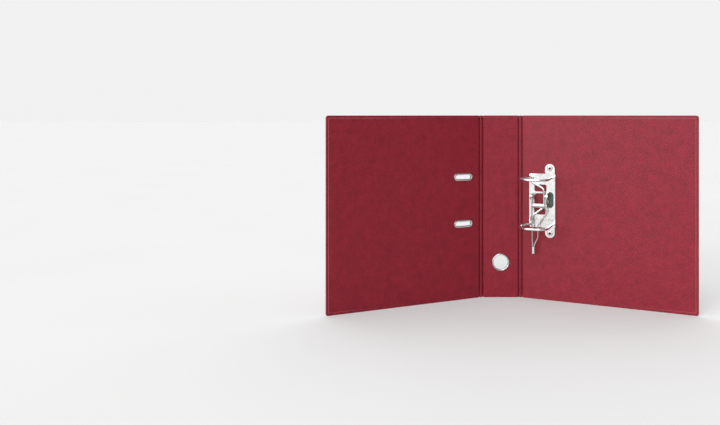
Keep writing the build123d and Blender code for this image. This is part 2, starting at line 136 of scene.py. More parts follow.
PLANES = {
    "spine": spine_plane,
    "front_strip": plane(-1, spine_hinge(-1), FOLD),
    "back_strip": plane(1, spine_hinge(1), FOLD),
    "front_cover": plane(-1, cover_hinge(-1), 2 * FOLD),
    "back_cover": plane(1, cover_hinge(1), 2 * FOLD),
}


# ---------------------------------------------------------------- mesh helpers
def outline(box, radii, inset, steps=7):
    """A rectangle with round corners, anticlockwise from its low corner. radii are for the corners at
    (low, low), (high, low), (high, high) and (low, high); inset is a distance for each of the
    low-u, high-u, low-v and high-v sides."""
    u0, u1, v0, v1 = box[0] + inset[0], box[1] - inset[1], box[2] + inset[2], box[3] - inset[3]
    sides = [(inset[0], inset[2]), (inset[1], inset[2]), (inset[1], inset[3]), (inset[0], inset[3])]
    points = []
    for k, (u, v, su, sv) in enumerate([(u0, v0, 1, 1), (u1, v0, -1, 1), (u1, v1, -1, -1), (u0, v1, 1, -1)]):
        r = max(radii[k] - max(0.0, min(sides[k])), LEAST_RADIUS)
        cu, cv = u + su * r, v + sv * r
        start = math.pi * (1 + 0.5 * k)
        for i in range(steps + 1):
            a = start + 0.5 * math.pi * i / steps
            points.append((cu + r * math.cos(a), cv + r * math.sin(a)))
    return points


def stadium(centre, length, height, grow=0.0, steps=14):
    """A slot's outline, anticlockwise."""
    r = height / 2 + grow
    half = (length - height) / 2
    points = []
    for side, start in ((1, -0.5 * math.pi), (-1, 0.5 * math.pi)):
        for i in range(steps + 1):
            a = start + math.pi * i / steps
            points.append((centre[0] + side * half + r * math.cos(a), centre[1] + r * math.sin(a)))
    return points


def circle(centre, radius, steps=72):
    turns = [2 * math.pi * i / steps for i in range(steps)]
    return [(centre[0] + radius * math.cos(a), centre[1] + radius * math.sin(a)) for a in turns]


class Builder:
    """Collects points, faces, each face's material and each point's wear, then makes one mesh object."""

    def __init__(self, to_world):
        self.to_world = to_world
        self.points, self.wear, self.faces, self.slots = [], [], [], []

    def ring(self, loop, m, wear=0.0):
        first = len(self.points)
        for u, v in loop:
            self.points.append(self.to_world(u, v, m))
            self.wear.append(wear)
        return list(range(first, len(self.points)))

    def bridge(self, a, b, slot=0):
        n = len(a)
        for i in range(n):
            j = (i + 1) % n
            self.faces.append((a[i], a[j], b[j], b[i]))
            self.slots.append(slot)

    def fill(self, loops, rings, m, spacing, flip=False, slot=0):
        """Covers the area inside the first loop and outside the others with triangles, with points
        inside it about that spacing apart."""
        flat, index, edges = [], [], []
        for loop, ring in zip(loops, rings):
            first = len(flat)
            flat += [Vector(p) for p in loop]
            index += ring
            edges += [(first + i, first + (i + 1) % len(loop)) for i in range(len(loop))]
        us, vs = [p[0] for p in loops[0]], [p[1] for p in loops[0]]
        nu = max(1, round((max(us) - min(us)) / spacing))
        nv = max(1, round((max(vs) - min(vs)) / spacing))
        for i in range(1, nu):
            for j in range(1, nv):
                u = min(us) + (max(us) - min(us)) * i / nu
                v = min(vs) + (max(vs) - min(vs)) * j / nv
                if all(self.clear(u, v, loop, spacing * 0.3) for loop in loops):
                    flat.append(Vector((u, v)))
                    index.append(None)
        out = delaunay_2d_cdt(flat, edges, [], 1, 1e-5)
        places, triangles, sources = out[0], out[2], out[3]
        made = []
        for place, source in zip(places, sources):
            known = [index[s] for s in source if index[s] is not None]
            if known:
                made.append(known[0])
            else:
                made.append(len(self.points))
                self.points.append(self.to_world(place.x, place.y, m))
                self.wear.append(0.0)
        for t in triangles:
            a, b, c = (places[k] for k in t)
            middle = (a + b + c) / 3
            if any(self.inside(middle, loop) for loop in loops[1:]):
                continue
            up = (b - a).cross(c - a) > 0
            order = t if up != flip else t[::-1]
            self.faces.append(tuple(made[k] for k in order))
            self.slots.append(slot)

    @staticmethod
    def inside(p, loop):
        crossings = 0
        for (u0, v0), (u1, v1) in zip(loop, loop[1:] + loop[:1]):
            if (v0 > p.y) != (v1 > p.y) and p.x < u0 + (u1 - u0) * (p.y - v0) / (v1 - v0):
                crossings += 1
        return crossings % 2 == 1

    @staticmethod
    def clear(u, v, loop, distance):
        return min((u - p[0]) ** 2 + (v - p[1]) ** 2 for p in loop) > distance * distance

    def object(self, name, materials, smooth_angle=40.0):
        mesh = bpy.data.meshes.new(name)
        mesh.from_pydata(self.points, [], self.faces)
        mesh.validate()
        for material in materials:
            mesh.materials.append(material)
        mesh.polygons.foreach_set("material_index", self.slots)
        attribute = mesh.attributes.new("wear", "FLOAT", "POINT")
        attribute.data.foreach_set("value", self.wear)
        return finish_mesh(name, mesh, smooth_angle)


def finish_mesh(name, mesh, smooth_angle):
    mesh.update()
    mesh.polygons.foreach_set("use_smooth", [True] * len(mesh.polygons))
    made = bpy.data.objects.new(name, mesh)
    bpy.context.scene.collection.objects.link(made)
    mesh.set_sharp_from_angle(angle=math.radians(smooth_angle))
    return made


# ---------------------------------------------------------------- materials
def material(name):
    made = bpy.data.materials.new(name)
    made.use_nodes = True
    tree = made.node_tree
    shader = tree.nodes["Principled BSDF"]
    return made, tree, shader


def noise(tree, place, scale, detail=3.0, roughness=0.5, distortion=0.0):
    made = tree.nodes.new("ShaderNodeTexNoise")
    made.inputs["Scale"].default_value = scale
    made.inputs["Detail"].default_value = detail
    made.inputs["Roughness"].default_value = roughness
    made.inputs["Distortion"].default_value = distortion
    tree.links.new(place, made.inputs["Vector"])
    return made.outputs["Fac"]


def ramp(tree, value, low, high, to_low=0.0, to_high=1.0):
    made = tree.nodes.new("ShaderNodeMapRange")
    made.inputs["From Min"].default_value = low
    made.inputs["From Max"].default_value = high
    made.inputs["To Min"].default_value = to_low
    made.inputs["To Max"].default_value = to_high
    tree.links.new(value, made.inputs["Value"])
    return made.outputs["Result"]


def calc(tree, operation, a, b=0.5):
    made = tree.nodes.new("ShaderNodeMath")
    made.operation = operation
    for socket, value in zip(made.inputs, (a, b)):
        if isinstance(value, (int, float)):
            socket.default_value = value
        else:
            tree.links.new(value, socket)
    return made.outputs[0]


def mix(tree, factor, a, b, blend="MIX"):
    made = tree.nodes.new("ShaderNodeMix")
    made.data_type = "RGBA"
    made.blend_type = blend
    made.clamp_factor = True
    for key, value in (("Factor", factor), ("A", a), ("B", b)):
        socket = [s for s in made.inputs if s.name == key and s.enabled][0]
        if isinstance(value, (int, float)):
            socket.default_value = value
        elif isinstance(value, tuple):
            socket.default_value = (*value, 1.0)
        else:
            tree.links.new(value, socket)
    return [s for s in made.outputs if s.enabled][0]


def bump(tree, shader, height, strength, distance):
    made = tree.nodes.new("ShaderNodeBump")
    made.inputs["Strength"].default_value = strength
    made.inputs["Distance"].default_value = distance
    tree.links.new(height, made.inputs["Height"])
    tree.links.new(made.outputs["Normal"], shader.inputs["Normal"])


def position(tree):
    return tree.nodes.new("ShaderNodeTexCoord").outputs["Object"]


def covering_paper(name, deep, light, worn, low_gloss, high_gloss):
    """Embossed covering paper with a leather grain: clouded colour, fine grain with painted shade in its
    valleys, and paler rubbed edges.
    """
    made, tree, shader = material(name)
    place = position(tree)
    cloud = noise(tree, place, 75.0, 4.0, 0.55, 0.4)
    blotch = noise(tree, place, 330.0, 3.0, 0.7)
    speck = noise(tree, place, 1500.0, 2.0, 0.6)
    tone = calc(tree, "ADD", calc(tree, "MULTIPLY", cloud, 0.42), calc(tree, "MULTIPLY", blotch, 0.58))
    colour = mix(tree, ramp(tree, tone, 0.34, 0.66), deep, light)
    cells = tree.nodes.new("ShaderNodeTexVoronoi")
    cells.feature = "DISTANCE_TO_EDGE"
    cells.inputs["Scale"].default_value = 950.0
    cells.inputs["Randomness"].default_value = 0.9
    tree.links.new(place, cells.inputs["Vector"])
    valley = ramp(tree, cells.outputs["Distance"], 0.0, 0.22)
    # Painted shade: the grain's valleys are darkened.
    shade = ramp(tree, valley, 0.0, 1.0, 0.86, 1.03)
    grey = tree.nodes.new("ShaderNodeCombineColor")
    for socket in grey.inputs:
        tree.links.new(shade, socket)
    colour = mix(tree, 1.0, colour, grey.outputs[0], "MULTIPLY")
    wear = tree.nodes.new("ShaderNodeAttribute")
    wear.attribute_name = "wear"
    rubbed = noise(tree, place, 420.0, 5.0, 0.65)
    rubbed = ramp(tree, calc(tree, "ADD", wear.outputs["Fac"], calc(tree, "MULTIPLY", rubbed, 0.9)), 1.0, 1.6)
    colour = mix(tree, calc(tree, "MULTIPLY", rubbed, 0.55), colour, worn)
    tree.links.new(colour, shader.inputs["Base Color"])
    gloss = calc(tree, "ADD", calc(tree, "MULTIPLY", tone, 0.7), calc(tree, "MULTIPLY", speck, 0.3))
    tree.links.new(ramp(tree, gloss, 0.3, 0.7, low_gloss, high_gloss), shader.inputs["Roughness"])
    shader.inputs["Specular IOR Level"].default_value = 0.27
    height = calc(tree, "ADD", valley, calc(tree, "MULTIPLY", speck, 0.6))
    height = calc(tree, "ADD", height, calc(tree, "MULTIPLY", blotch, 5.5))
    bump(tree, shader, height, 0.45, 0.00012)
    return made


def plated_nodes(name, colour, low, high, streak_scale, tone_and_shade=0.0):
    """Plated steel with soft drawing marks, a little haze and fine scratches."""
    made, tree, shader = material(name)
    place = position(tree)
    haze = noise(tree, place, 160.0, 3.0, 0.6)
    stretch = tree.nodes.new("ShaderNodeMapping")
    stretch.inputs["Scale"].default_value = (1.0, 1.0, 0.06)
    tree.links.new(place, stretch.inputs["Vector"])
    marks = noise(tree, stretch.outputs[0], streak_scale, 2.0, 0.6)
    dark = tuple(c * (0.86 - tone_and_shade) for c in colour)
    tree.links.new(mix(tree, ramp(tree, haze, 0.35, 0.7), dark, colour), shader.inputs["Base Color"])
    shader.inputs["Metallic"].default_value = 1.0
    gloss = calc(tree, "ADD", calc(tree, "MULTIPLY", haze, 0.6), calc(tree, "MULTIPLY", marks, 0.4))
    tree.links.new(ramp(tree, gloss, 0.3, 0.7, low, high), shader.inputs["Roughness"])
    bump(tree, shader, marks, 0.08, 0.00005)
    return made, tree, shader


def plated(*values):
    return plated_nodes(*values)[0]


def printed(name, colour, rough, fibre=0.05):
    """Printed label stock with a faint paper fibre."""
    made, tree, shader = material(name)
    place = position(tree)
    fibres = noise(tree, place, 900.0, 4.0, 0.7)
    cloud = noise(tree, place, 60.0, 2.0, 0.5)
    dark = tuple(c * (1 - fibre) for c in colour)
    tone = calc(tree, "ADD", calc(tree, "MULTIPLY", fibres, 0.5), calc(tree, "MULTIPLY", cloud, 0.5))
    tree.links.new(mix(tree, ramp(tree, tone, 0.35, 0.65), dark, colour), shader.inputs["Base Color"])
    tree.links.new(ramp(tree, fibres, 0.3, 0.7, rough - 0.08, rough + 0.08), shader.inputs["Roughness"])
    bump(tree, shader, fibres, 0.15, 0.00004)
    return made


def local_coordinate(tree, place, origin, axis):
    """How far along an axis a point lies from an origin, in metres, in the object's own space."""
    minus = tree.nodes.new("ShaderNodeVectorMath")
    minus.operation = "SUBTRACT"
    tree.links.new(place, minus.inputs[0])
    minus.inputs[1].default_value = origin
    dot = tree.nodes.new("ShaderNodeVectorMath")
    dot.operation = "DOT_PRODUCT"
    tree.links.new(minus.outputs[0], dot.inputs[0])
    dot.inputs[1].default_value = axis
    return dot.outputs["Value"]


def mechanism_coordinates(tree, place):
    along, inward = direction(1, 2 * FOLD)
    origin = PLANES["back_cover"](HALF_GAP, MECHANISM_HEIGHT, THICKNESS)
    return [local_coordinate(tree, place, origin, axis) for axis in (along, Vector((0, 0, 1)), inward)]


def from_rivet(tree, u, v):
    """Distance in the cover's plane from the nearer of the two rivets' axes."""
    du = calc(tree, "SUBTRACT", u, EAR_CENTRE * MM)
    dv = calc(tree, "SUBTRACT", calc(tree, "ABSOLUTE", v), RIVET_REACH * MM)
    squares = [calc(tree, "MULTIPLY", d, d) for d in (du, dv)]
    return calc(tree, "SQRT", calc(tree, "ADD", *squares))


def rivet_steel():
    """Plated steel with painted shade near black inside the hollow rivet, and a painted contact shadow ring
    where the head meets the plate.
    """
    made, tree, shader = plated_nodes("nickel_plated_rivet", (0.74, 0.74, 0.73), 0.14, 0.26, 1400.0)
    place = position(tree)
    u, v, n = mechanism_coordinates(tree, place)
    away = from_rivet(tree, u, v)
    # Painted shade inside the hollow and painted contact shadow round the head, mixed towards near black.
    in_bore = calc(tree, "LESS_THAN", away, RIVET_BORE * MM)
    bore_shade = calc(tree, "MULTIPLY", in_bore, calc(tree, "LESS_THAN", n, RIVET_BORE_TOP * MM))
    at_foot = calc(tree, "GREATER_THAN", away, RIVET_FOOT * MM)
    foot_shadow = calc(tree, "MULTIPLY", at_foot, calc(tree, "LESS_THAN", n, RIVET_FOOT_TOP * MM))
    dark = calc(tree, "MAXIMUM", bore_shade, calc(tree, "MULTIPLY", foot_shadow, 0.7))
    bright = shader.inputs["Base Color"].links[0].from_socket
    tree.links.new(mix(tree, dark, bright, (0.05, 0.05, 0.048)), shader.inputs["Base Color"])
    return made


def trim_steel():
    """Bright nickel with painted shade: dark lines where a rim turns into its hole and where it meets the
    paper.
    """
    made, tree, shader = plated_nodes("bright_nickel_trim", (0.72, 0.71, 0.67), 0.10, 0.22, 900.0)
    wear = tree.nodes.new("ShaderNodeAttribute")
    wear.attribute_name = "wear"
    bright = shader.inputs["Base Color"].links[0].from_socket
    tree.links.new(mix(tree, wear.outputs["Fac"], bright, (0.045, 0.044, 0.042)), shader.inputs["Base Color"])
    return made


def plate_steel():
    """Nickel plate with painted shade on the floor of the pressed recess beside the lever, and a painted
    shadow ring round each rivet head.
    """
    made, tree, shader = plated_nodes("nickel_plated_plate", (0.85, 0.85, 0.84), 0.14, 0.26, 1400.0, -0.06)
    place = position(tree)
    u, v, n = mechanism_coordinates(tree, place)
    inside = 1.0
    for value, (low, high) in ((u, RECESS_U), (v, RECESS_V), (n, RECESS_N)):
        for test, limit in (("GREATER_THAN", low), ("LESS_THAN", high)):
            inside = calc(tree, "MULTIPLY", inside, calc(tree, test, value, limit * MM))
    bright = shader.inputs["Base Color"].links[0].from_socket
    # Painted shade: the recess floor is mixed to a mottled near black.
    recess_mottle = noise(tree, place, 260.0, 3.0, 0.6)
    dark = mix(tree, recess_mottle, (0.035, 0.045, 0.04), (0.16, 0.18, 0.165))
    # Painted shadow: a dark ring on the plate round each rivet head.
    away = from_rivet(tree, u, v)
    rivet_shadow = ramp(tree, away, RIVET_SHADOW_START * MM, RIVET_SHADOW_END * MM, 1.0, 0.0)
    ring = calc(tree, "MULTIPLY", rivet_shadow, 0.75)
    bright = mix(tree, ring, bright, (0.10, 0.10, 0.095))
    tree.links.new(mix(tree, inside, bright, dark), shader.inputs["Base Color"])
    return made


# deep, light and worn colour, then the lowest and highest roughness
RED_PAPER = ((0.144, 0.0042, 0.0125), (0.230, 0.0088, 0.0222), (0.34, 0.11, 0.13), 0.36, 0.56)
# The lining's cut edges: the paper's paler core, and a painted highlight along the edge.
PALE_PAPER = ((0.24, 0.05, 0.062), (0.32, 0.08, 0.095), (0.36, 0.12, 0.13), 0.55, 0.7)
OUTER = covering_paper("outer_leatherette", *RED_PAPER)
INNER = covering_paper("inner_lining_paper", *RED_PAPER)
CUT_EDGE_AND_HIGHLIGHT = covering_paper("lining_cut_edge_and_highlight", *PALE_PAPER)
TRIM = trim_steel()
SLEEVE = plated("bright_sleeve", (0.94, 0.94, 0.93), 0.16, 0.28, 1600.0)
PLATE = plate_steel()
RIVETS = rivet_steel()
STEEL = plated("nickel_plated_steel", (0.68, 0.68, 0.67), 0.12, 0.26, 1400.0)
WIRE = plated("chromed_wire", (0.76, 0.76, 0.75), 0.05, 0.14, 1800.0)
LEVER = plated("lever_steel", (0.52, 0.52, 0.51), 0.12, 0.24, 1600.0)
SPRING = plated("spring_wire", (0.40, 0.39, 0.38), 0.18, 0.32, 2200.0, 0.1)
LABEL = printed("label_stock", (0.80, 0.80, 0.84), 0.42)
LABEL_RED = printed("label_red_print", (0.62, 0.045, 0.04), 0.4, 0.12)
LABEL_GREY = printed("label_grey_print", (0.34, 0.34, 0.37), 0.45, 0.12)


# ---------------------------------------------------------------- case panels
def shell(name, body, box, free, holes, replaced):
    """A board wrapped in covering paper, with round edges. free tells which of its low-u and high-u sides
    is a free edge with round corners."""
    made = Builder(PLANES[body])
    radii = [CORNER if free[k] else HINGE_CORNER for k in (0, 1, 1, 0)]
    angles = [0.5 * math.pi * i / ARC for i in range(ARC + 1)]
    rounding = [(EDGE_ROUND * (1 - math.sin(a)), EDGE_ROUND * (1 - math.cos(a))) for a in angles]
    worn = [0.55 + 0.45 * math.sin(math.pi * k / ARC) for k in range(ARC + 1)]
    calm, rubbed = EDGE_ROUND + 3.0, EDGE_ROUND + 0.6
    profile = [(calm, 0.0, 0.0), (rubbed, 0.0, 0.35)]
    profile += [(inset, m, wear) for (inset, m), wear in zip(rounding, worn)]
    profile += [(0.0, THICKNESS / 2, 0.5)]
    profile += reversed([(inset, SHELL - m, worn[ARC - k]) for k, (inset, m) in enumerate(rounding)])
    profile += [(rubbed, SHELL, 0.3), (calm, SHELL, 0.0)]
    narrow = box[1] - box[0] < NARROW
    widest = 0.9
    loops, rings = [], []
    for inset, m, wear in profile:
        across = min(inset, widest) if narrow else inset
        low_side, high_side = (across + (0 if is_free else LINING_PAPER) for is_free in free)
        loop = outline(box, radii, (low_side, high_side, inset, inset))
        loops.append(loop)
        rings.append(made.ring(loop, m, wear))
    for a, b in zip(rings, rings[1:]):
        made.bridge(a, b)
    spacing = STRIP_SPACING if narrow else COVER_SPACING
    outer_holes = [made.ring(h, 0.0) for h in holes]
    inner_holes = [made.ring(h, SHELL) for h in holes]
    made.fill([loops[0]] + holes, [rings[0]] + outer_holes, 0.0, spacing, flip=True)
    made.fill([loops[-1]] + holes, [rings[-1]] + inner_holes, SHELL, spacing)
    for a, b in zip(outer_holes, inner_holes):
        made.bridge(b, a)
    done = made.object(name, [OUTER])
    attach(done, body)
    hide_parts(*replaced)
    return done


def lining_outline(box, insets, free):
    """A lining sheet's outline: cut round at its free corners and square at its hinge sides."""
    u0, u1, v0, v1 = box[0] + insets[0], box[1] - insets[1], box[2] + insets[2], box[3] - insets[3]
    r, steps = LINING_CORNER, 4
    corners = (
        (u0, v0, free[0], 1, 1, 1.0),
        (u1, v0, free[1], -1, 1, 1.5),
        (u1, v1, free[1], -1, -1, 0.0),
        (u0, v1, free[0], 1, -1, 0.5),
    )
    points = []
    for u, v, is_free, su, sv, start in corners:
        if not is_free:
            points.append((u, v))
            continue
        for i in range(steps + 1):
            a = start * math.pi + 0.5 * math.pi * i / steps
            points.append((u + su * r + r * math.cos(a), v + sv * r + r * math.sin(a)))
    return points


def roll_into_crease(made, edge, sign, heights, top_pair, base_pair):
    """Rolls one hinge side of a lining sheet over the panel's round edge and down into the crease."""
    outer = EDGE_ROUND + LINING_PAPER
    outside, inside = [top_pair], [base_pair]
    for i in range(1, ARC + 1):
        a = 0.5 * math.pi * i / ARC
        for rows, radius in ((outside, outer), (inside, EDGE_ROUND)):
            u = edge + sign * (outer - radius * math.sin(a))
            m = THICKNESS - outer + radius * math.cos(a)
            rows.append(made.ring([(u, v) for v in heights], m, 0.5))
    outside.append(made.ring([(edge, v) for v in heights], CREASE_DEPTH, 0.2))
    inside.append(made.ring([(edge + sign * LINING_PAPER, v) for v in heights], CREASE_DEPTH, 0.2))
    for i in range(len(outside) - 1):
        (a, b), (c, d) = outside[i], outside[i + 1]
        (e, f), (g, h) = inside[i], inside[i + 1]
        made.faces += [(a, c, d, b), (e, f, h, g), (a, e, g, c), (b, d, h, f)]
        made.slots += [0, 0, 1, 1]
    made.faces.append((outside[-1][0], inside[-1][0], inside[-1][1], outside[-1][1]))
    made.slots.append(0)


def lining(name, body, box, free, holes, replaced):
    """The lining sheet, set in from the free edges and rolled over the hinge edges into the creases. A narrow
    border on top is paler along the fore-edge: partly rubbed wear, partly a painted highlight."""
    made = Builder(PLANES[body])
    rolled = EDGE_ROUND + LINING_PAPER
    under = SHELL - LINING_SUNK
    low_inset = [LINING_INSET if is_free else rolled for is_free in free] + [LINING_INSET] * 2
    inset = [LINING_INSET + LINING_BEVEL if is_free else rolled for is_free in free]
    inset += [LINING_INSET + LINING_BEVEL] * 2
    top_loop, low_loop = lining_outline(box, inset, free), lining_outline(box, low_inset, free)
    top, low = made.ring(top_loop, THICKNESS, 0.0), made.ring(low_loop, SHELL, 0.3)
    # Paler border along the fore-edge: partly wear, partly a painted highlight.
    middle = (box[0] + box[1]) / 2
    for k, (u, _) in zip(top, top_loop):
        if free[1] and u > middle:
            made.wear[k] = 1.5
    calm_loop = lining_outline(box, [distance + PALE_BORDER for distance in inset], free)
    calm = made.ring(calm_loop, THICKNESS)
    made.bridge(top, calm)
    base = made.ring(low_loop, under, 0.0)
    top_holes = [made.ring(h, THICKNESS) for h in holes]
    base_holes = [made.ring(h, under) for h in holes]
    spacing = STRIP_LINING_SPACING if box[1] - box[0] < NARROW else COVER_SPACING
    made.fill([calm_loop] + holes, [calm] + top_holes, THICKNESS, spacing)
    made.fill([low_loop] + holes, [base] + base_holes, under, spacing, flip=True)
    for a, b in zip(top_holes, base_holes):
        made.bridge(a, b)
    hinge_lines = {}
    if not free[0]:
        hinge_lines[box[0] + inset[0]] = (box[0], 1)
    if not free[1]:
        hinge_lines[box[1] - inset[1]] = (box[1], -1)
    rolls = []
    for k in range(len(top)):
        j = (k + 1) % len(top)
        u, v = top_loop[k]
        if u == top_loop[j][0] and u in hinge_lines:
            edge, sign = hinge_lines[u]
            rolls.append((edge, sign, (v, top_loop[j][1]), (top[k], top[j]), (base[k], base[j])))
            continue
        made.faces += [(top[k], low[k], low[j], top[j]), (low[k], base[k], base[j], low[j])]
        made.slots += [1, 1]
    for roll in rolls:
        roll_into_crease(made, *roll)
    done = made.object(name, [INNER, CUT_EDGE_AND_HIGHLIGHT])
    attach(done, body)
    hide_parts(*replaced)
    return done


def crease_web(name, side, hinge, angle, replaced):
    """The folded paper in one crease: a shallow channel outside and inside, that bends at the hinge."""
    tuck = 0.55
    half = HALF_GAP + tuck
    across, arc = 20, 4
    end_margin = 0.6
    channel_low, channel_high, flare = 0.95, 1.50, 0.35
    bend = math.radians(FOLD)

    def turned(t, v, m):
        share = min(max((t + HALF_GAP) / (2 * HALF_GAP), 0.0), 1.0)
        share = share * share * (3 - 2 * share)
        along, inward = direction(side, angle + math.degrees(share * bend))
        return (hinge + along * t + inward * m + Vector((0, 0, v))) * MM

    made = Builder(turned)
    rows = []
    for i in range(across + 1):
        t = -half + 2 * half * i / across
        near = min(abs(t) / HALF_GAP, 1.0) ** 2
        low, high = channel_low - flare * near, channel_high + flare * near
        mid, thick = (low + high) / 2, (high - low) / 2
        section = []
        for v_end, sign in ((end_margin, 1), (HEIGHT - end_margin, -1)):
            for k in range(arc + 1):
                a = 0.5 * math.pi * k / arc
                a = a if sign > 0 else 0.5 * math.pi - a
                section.append((v_end + sign * thick * (1 - math.sin(a)), mid - thick * math.cos(a)))
        back = [(v, 2 * mid - m) for v, m in reversed(section)]
        ring = []
        for v, m in section + back:
            ring += made.ring([(t, v)], m, 0.15)
        rows.append(ring)
    for a, b in zip(rows, rows[1:]):
        made.bridge(a, b)
    made.faces += [tuple(rows[0]), tuple(reversed(rows[-1]))]
    made.slots += [0, 0]
    done = made.object(name, [OUTER], 50.0)
    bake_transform(done)
    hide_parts(*replaced)
    return done


RING_HOLE = RING_RADIUS + RING_WALL
SLOT_HOLE = (SLOT_LENGTH + 2 * SLOT_WALL, SLOT_OPENING + 2 * SLOT_WALL)
SLOT_LOOPS = [stadium((SLOT_CENTRE, z), *SLOT_HOLE) for z in SLOT_HEIGHTS.values()]
SPINE_BOX = (-SPINE_HALF, SPINE_HALF, 0.0, HEIGHT)
STRIP_BOX = (HALF_GAP, HALF_GAP + STRIP_WIDTH, 0.0, HEIGHT)
COVER_BOX = (HALF_GAP, HALF_GAP + COVER_WIDTH, 0.0, HEIGHT)
RING_LOOP = [circle((0.0, RING_HEIGHT), RING_HOLE)]
HINGED, FORE_EDGE = (False, False), (False, True)

shell("spine_shell", "spine", SPINE_BOX, HINGED, RING_LOOP, ["spine_wrap", "spine_board"])
lining("spine_lining_sheet", "spine", SPINE_BOX, HINGED, RING_LOOP, ["spine_lining"])
for side, word in ((-1, "front"), (1, "back")):
    strip, cover = word + "_strip", word + "_cover"
    holes = SLOT_LOOPS if side < 0 else []
    shell(strip + "_shell", strip, STRIP_BOX, HINGED, [], [strip + "_wrap", strip + "_board"])
    lining(strip + "_lining_sheet", strip, STRIP_BOX, HINGED, [], [strip + "_lining"])
    shell(cover + "_shell", cover, COVER_BOX, FORE_EDGE, holes, [cover + "_wrap", cover + "_board"])
    lining(cover + "_lining_sheet", cover, COVER_BOX, FORE_EDGE, holes, [cover + "_lining"])
    spine_crease, cover_crease = word + "_spine_crease", word + "_cover_crease"
    crease_web(word + "_spine_web", side, spine_hinge(side), 0.0, [spine_crease])
    crease_web(word + "_cover_web", side, cover_hinge(side), FOLD, [cover_crease])


# ---------------------------------------------------------------- pressed metal rims
def rim(name, body, loop_at, profile, replaced):
    """A closed ring of pressed metal: the profile's points are (growth of the outline, m, painted shade)."""
    made = Builder(PLANES[body])
    rings = [made.ring(loop_at(grow), m, tone_and_shade) for grow, m, tone_and_shade in profile]
    for a, b in zip(rings, rings[1:] + rings[:1]):
        made.bridge(a, b)
    done = made.object(name, [TRIM], 50.0)
    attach(done, body)
    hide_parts(*replaced)
    return done


def rolled_rim(wall, flange, lip, crown=7):
    """Section of an eyelet: a rolled flange on each face and a thin wall through the board, with painted
    shade at the flange's edges and on the wall.
    """
    points = []
    for i in range(crown + 1):
        a = math.pi * i / crown
        half = flange / 2
        # painted shade where the flange meets the paper and where it turns into the hole
        tone_and_shade = 0.85 * abs(math.cos(a)) ** 2
        points.append((half - half * math.cos(a), -lip * math.sin(a) ** 0.8 - 0.02, tone_and_shade))
    lap, sunk, wall_shade = flange - 0.05, 0.03, 0.85
    near = [(lap, sunk, wall_shade), (wall, sunk, wall_shade)]
    far = [(g, THICKNESS - m, tone_and_shade) for g, m, tone_and_shade in reversed(near)]
    inner = [(g, THICKNESS - m, tone_and_shade) for g, m, tone_and_shade in reversed(points)]
    return points + near + far + inner


def slot_outline(z):
    return lambda grow: stadium((SLOT_CENTRE, z), SLOT_LENGTH, SLOT_OPENING, grow)


def ring_outline(grow):
    return circle((0.0, RING_HEIGHT), RING_RADIUS + grow, 96)


SLOT_SECTION = rolled_rim(SLOT_WALL, SLOT_FLANGE, SLOT_LIP)
RING_SECTION = rolled_rim(RING_WALL, RING_FLANGE, RING_LIP)
for which, z in SLOT_HEIGHTS.items():
    rim(which + "_slot_rim", "front_cover", slot_outline(z), SLOT_SECTION, [which + "_slot_eyelet"])
rim("finger_ring_rim", "spine", ring_outline, RING_SECTION, ["finger_ring", "finger_ring_washer"])


# ---------------------------------------------------------------- spine label, on the outside
def label():
    """A rounded label with a generic printed square, short dummy lines and two rules."""
    low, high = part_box("spine_label")
    u0, u1, v0, v1 = low.x / MM, high.x / MM, low.z / MM, high.z / MM
    made = Builder(spine_plane)
    thick, sunk, corner = 0.2, 0.02, 5.0
    # each mark's low and high u, low and high v, and its material's place in the list
    marks = [
        ((-9.5, 9.5, v1 - 36.0, v1 - 17.0), 1),
        ((-8.0, 8.0, v1 - 42.5, v1 - 41.2), 2),
        ((-14.0, 14.0, v1 - 46.5, v1 - 45.7), 2),
        ((u0 + 4.0, u1 - 4.0, v1 - 51.4, v1 - 50.9), 2),
        ((u0 + 4.0, u1 - 4.0, v0 + 13.0, v0 + 13.5), 2),
        ((-12.0, 12.0, v0 + 15.6, v0 + 16.2), 2),
    ]
    radii = [corner] * 4
    profile = [(0.35, -thick), (0.1, -thick + 0.03), (0.0, -thick + 0.12), (0.0, sunk)]
    loops = [outline((u0, u1, v0, v1), radii, [inset] * 4, 8) for inset, _ in profile]
    rings = [made.ring(loop, m) for loop, (_, m) in zip(loops, profile)]
    for a, b in zip(rings, rings[1:]):
        made.bridge(a, b)
    print_loops = [[(a, c), (b, c), (b, d), (a, d)] for (a, b, c, d), _ in marks]
    print_rings = [made.ring(loop, -thick) for loop in print_loops]
    made.fill([loops[0]] + print_loops, [rings[0]] + print_rings, -thick, 8.0, flip=True)
    for (_, slot_index), ring in zip(marks, print_rings):
        made.faces.append(tuple(reversed(ring)))
        made.slots.append(slot_index)
    made.fill([loops[-1]], [rings[-1]], sunk, 20.0)
    done = made.object("spine_label_card", [LABEL, LABEL_RED, LABEL_GREY])
    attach(done, "spine")
    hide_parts("spine_label")


label()


# ---------------------------------------------------------------- mechanism: CAD nodes with metal finishes
FINISHES = {
    "base_plate": PLATE,
    "mechanism_rivets": RIVETS,
    "upper_post": WIRE,
    "lower_post": WIRE,
    "arch_wire": WIRE,
    "lever_wire": LEVER,
    "lever_sleeve": SLEEVE,
    "lever_pivots": STEEL,
    "roller_axle": STEEL,
    "pressure_roller": STEEL,
}
for name, finish in FINISHES.items():
    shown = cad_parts[name]
    if not shown.material_slots:
        shown.data.materials.append(finish)
    for slot_index in range(len(shown.material_slots)):
        shown.material_slots[slot_index].material = finish


def on_mechanism(u, v, n):
    """Turns the mechanism's millimetres into a point: u from the cover's hinge edge, v from its middle."""
    return PLANES["back_cover"](HALF_GAP + u, MECHANISM_HEIGHT + v, THICKNESS + n)


